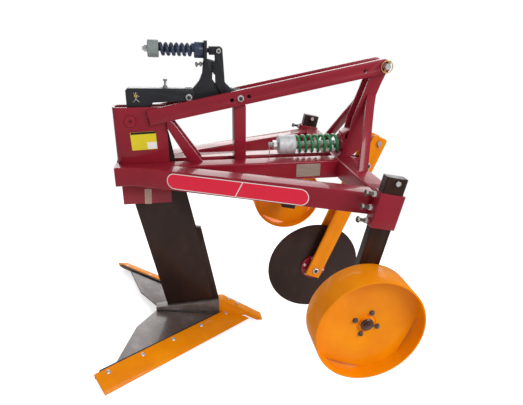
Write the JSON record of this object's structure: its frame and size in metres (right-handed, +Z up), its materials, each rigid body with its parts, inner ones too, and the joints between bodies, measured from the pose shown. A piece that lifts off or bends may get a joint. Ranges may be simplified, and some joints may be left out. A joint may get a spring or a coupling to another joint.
{
  "type": "subsoiler",
  "caption": "Tractor-mounted subsoiler: red tube frame, one spring-trip shank with winged share, sprung coulter disc and two depth wheels on sliding legs.",
  "frame": {"origin": "centre of the bounding box on the floor", "axes": "+X forward to the tractor, +Y to the left, +Z up"},
  "size_m": [1.2016, 1.415, 1.3269],
  "materials": {
    "red_paint": "gloss",
    "black_paint": "gloss",
    "dark_paint": "gloss",
    "yellow_paint": "gloss",
    "mill_steel": "matt mill scale",
    "zinc_steel": "satin zinc",
    "grey_paint": "gloss",
    "blue_spring": "gloss",
    "green_spring": "gloss",
    "hub_paint": "gloss"
  },
  "bodies": {
    "frame": {"side_beam_left": "red_paint", "side_beam_right": "red_paint", "central_beams": "red_paint", "cross_beam": "red_paint", "mast": "red_paint", "lower_brackets": "red_paint", "shank_pivot": "red_paint", "top_bars": "red_paint", "post": "red_paint", "struts": "red_paint", "gussets": "red_paint", "spring_seat": "red_paint", "front_stays": "red_paint", "top_link_pin": "zinc_steel", "link_lugs": "red_paint", "link_pins": "zinc_steel", "rear_link": "black_paint", "toggle_bolts": "zinc_steel", "toggle_lever": "black_paint", "spring_arms": "black_paint", "trip_rod": "zinc_steel", "trip_cap": "grey_paint", "trip_cup": "black_paint", "trip_spring": "blue_spring", "shank": "dark_paint", "shin_strip": "dark_paint", "share_bar": "mill_steel", "point": "yellow_paint", "blades": "yellow_paint", "wing_plates": "mill_steel", "coulter_bars": "yellow_paint", "coulter_web": "yellow_paint", "pivot_lugs": "red_paint", "coulter_rod": "zinc_steel", "coulter_cap": "grey_paint", "coulter_spring": "green_spring", "coulter_pins": "zinc_steel", "leg_sleeves": "red_paint", "set_screws": "zinc_steel"},
    "leg_left": {"wheel_leg_left": "dark_paint"},
    "leg_right": {"wheel_leg_right": "dark_paint"},
    "wheel_left": {"wheel_left": "yellow_paint", "wheel_hub_left": "hub_paint"},
    "wheel_right": {"wheel_right": "yellow_paint", "wheel_hub_right": "hub_paint"},
    "coulter_disc": {"coulter_disc": "dark_paint", "coulter_hub": "hub_paint"}
  },
  "joints": [
    {"name": "leg_left_slide", "type": "slide", "parent": "frame", "child": "leg_left", "axis": [0.0862, 0, 0.9963], "range_m": [-0.03, 0.2]},
    {"name": "wheel_left_spin", "type": "hinge", "parent": "leg_left", "child": "wheel_left", "pos_m": [0.35517, 0.646, 0.45013], "axis": [0, 1, 0], "continuous": true},
    {"name": "leg_right_slide", "type": "slide", "parent": "frame", "child": "leg_right", "axis": [0.0862, 0, 0.9963], "range_m": [-0.03, 0.2]},
    {"name": "wheel_right_spin", "type": "hinge", "parent": "leg_right", "child": "wheel_right", "pos_m": [0.35517, -0.646, 0.45013], "axis": [0, 1, 0], "continuous": true},
    {"name": "coulter_spin", "type": "hinge", "parent": "frame", "child": "coulter_disc", "pos_m": [0.37223, 0, 0.30815], "axis": [0, 1, 0], "continuous": true}
  ]
}
